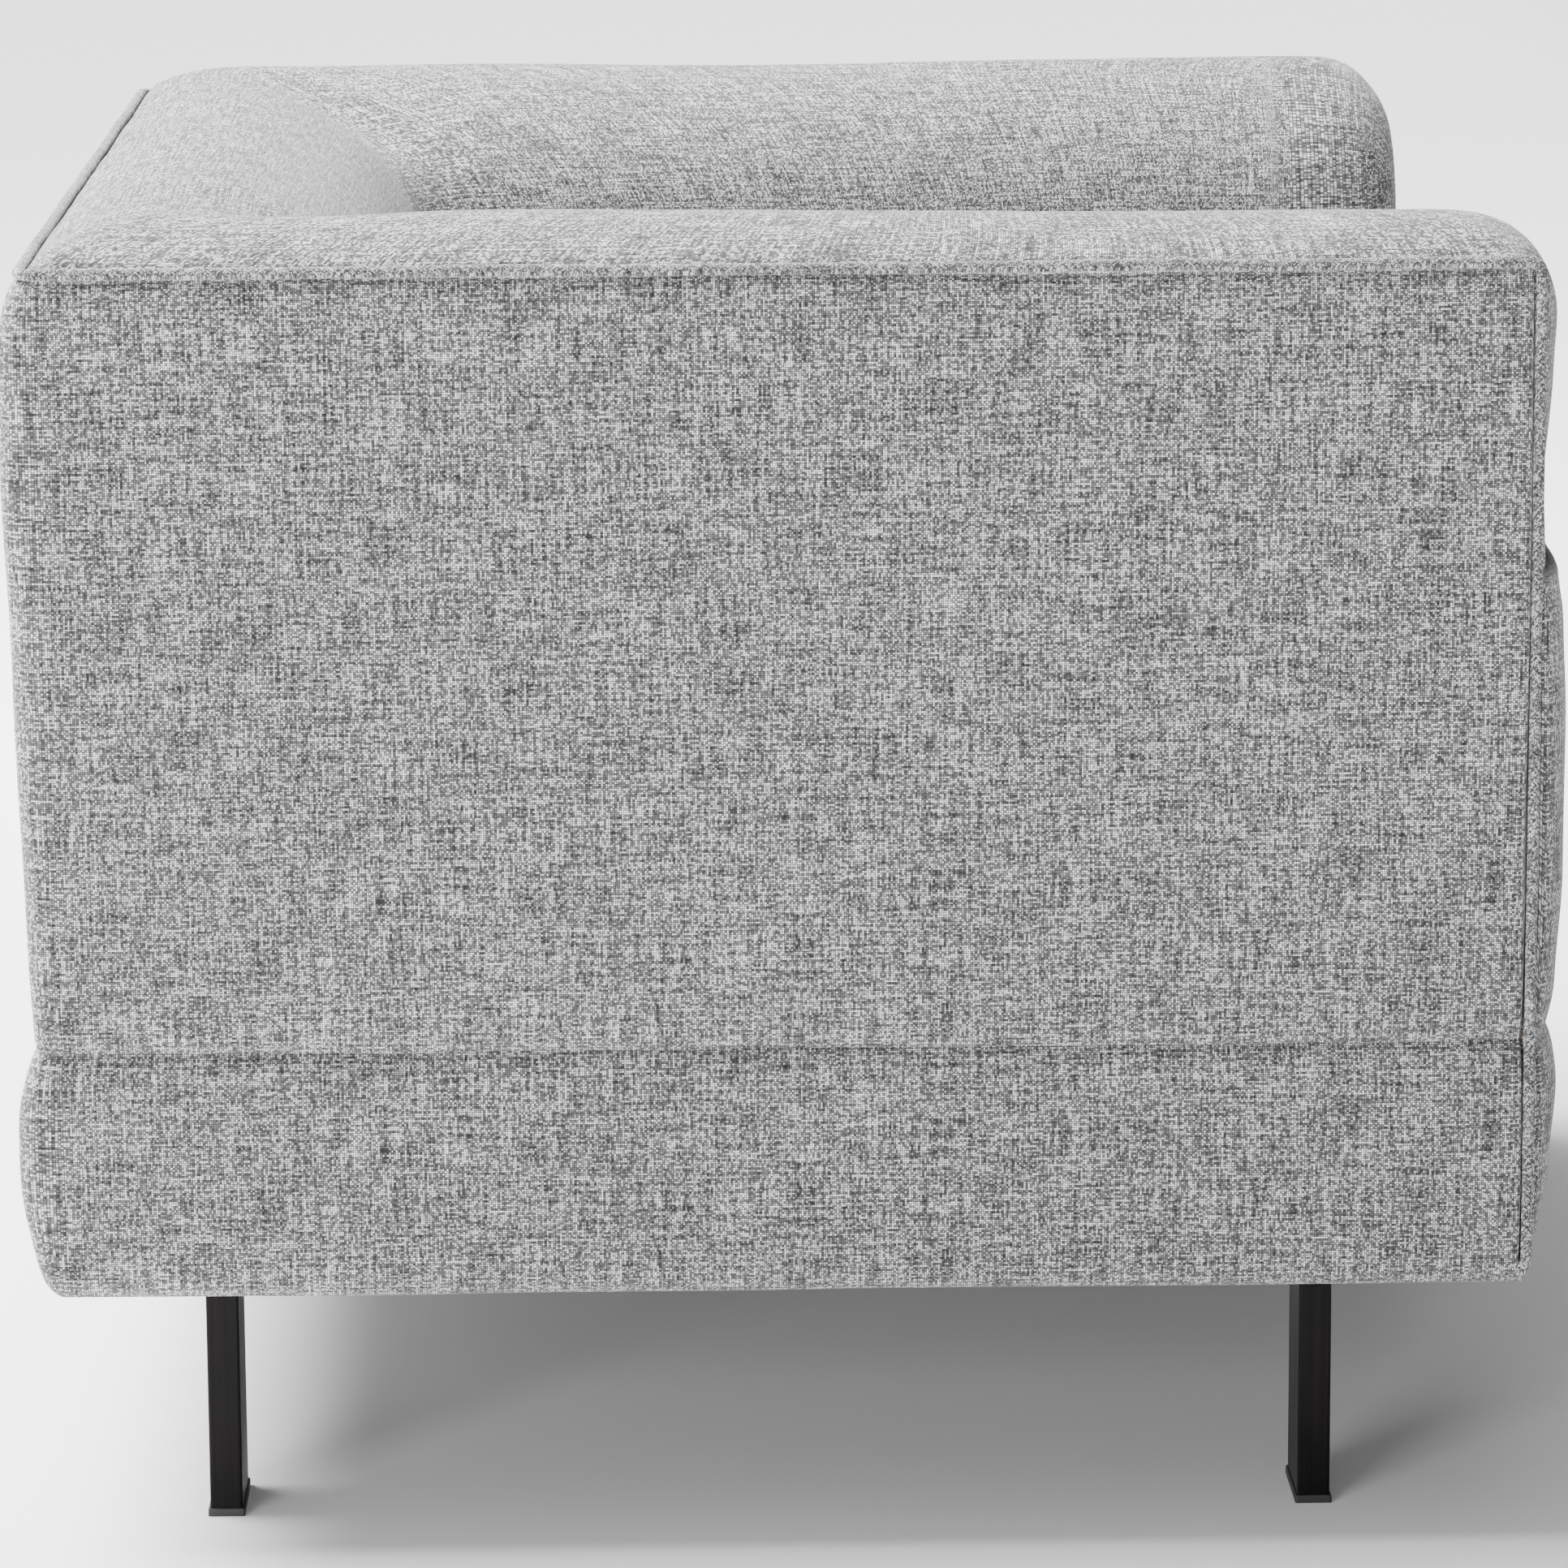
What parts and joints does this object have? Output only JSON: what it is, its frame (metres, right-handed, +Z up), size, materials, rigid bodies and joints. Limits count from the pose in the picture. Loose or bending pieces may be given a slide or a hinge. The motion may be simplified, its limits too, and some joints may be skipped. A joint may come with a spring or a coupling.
{
  "type": "upholstered armchair",
  "caption": "Low boxy upholstered armchair with a tight seat, arms and back of one height with rolled inner tops, a pinched base band and short blade legs.",
  "frame": {"origin": "on the floor, under the middle of the chair's box", "axes": "+Z up, the chair faces -Y, +X is the sitter's left"},
  "size_m": [0.852, 0.748, 0.643],
  "materials": {
    "upholstery": "plain weave linen-look cloth, light and dark grey yarns",
    "leg_steel": "dark gunmetal with a fine brushed grain",
    "foot_plastic": "moulded black plastic",
    "zinc_hardware": "bright zinc plate",
    "spring_steel": "oil-tempered spring wire",
    "webbing": "woven elastic webbing",
    "felt": "needled felt",
    "dust_cloth": "black spun-bonded cloth",
    "fibreboard": "pressed brown fibreboard",
    "timber": "sawn pale hardwood",
    "wadding": "white polyester wadding",
    "foam": "cream polyurethane foam"
  },
  "bodies": {
    "root": {"arm_cover_left": "upholstery", "arm_cover_right": "upholstery", "arm_front_foam_left": "foam", "arm_front_foam_right": "foam", "arm_inner_boards": "fibreboard", "arm_inner_foam_left": "foam", "arm_inner_foam_right": "foam", "arm_piping_left": "upholstery", "arm_piping_right": "upholstery", "arm_tack_rails": "timber", "arm_top_foam_left": "foam", "arm_top_foam_right": "foam", "arm_top_rail_left": "timber", "arm_top_rail_right": "timber", "back_board": "fibreboard", "back_cover": "upholstery", "back_inner_foam": "foam", "back_piping": "upholstery", "back_stile": "timber", "back_tack_rail": "timber", "back_top_foam": "foam", "back_top_rail": "timber", "back_wadding": "wadding", "back_webbing": "webbing", "band_cover": "upholstery", "band_front_cover": "upholstery", "band_front_pad": "foam", "band_rear_pad": "foam", "band_side_pads": "foam", "base_cross_rail": "timber", "base_front_rail": "timber", "base_rear_rail": "timber", "base_side_rail_left": "timber", "base_side_rail_right": "timber", "dust_cover": "dust_cloth", "foot_caps": "foot_plastic", "front_posts": "timber", "leg_blocks": "timber", "leg_bolts": "zinc_hardware", "leg_front_left": "leg_steel", "leg_front_right": "leg_steel", "leg_rear_left": "leg_steel", "leg_rear_right": "leg_steel", "leg_tee_nuts": "zinc_hardware", "outer_cover": "upholstery", "rear_posts": "timber", "seat_cover": "upholstery", "seat_foam": "foam", "seat_front_foam": "foam", "seat_front_rail": "timber", "seat_rear_rail": "timber", "seat_side_rails": "timber", "seat_springs": "spring_steel", "side_boards": "fibreboard", "side_wadding_left": "wadding", "side_wadding_right": "wadding", "spring_clips": "zinc_hardware", "spring_felt": "felt", "spring_tie_wires": "spring_steel"}
  },
  "joints": []
}
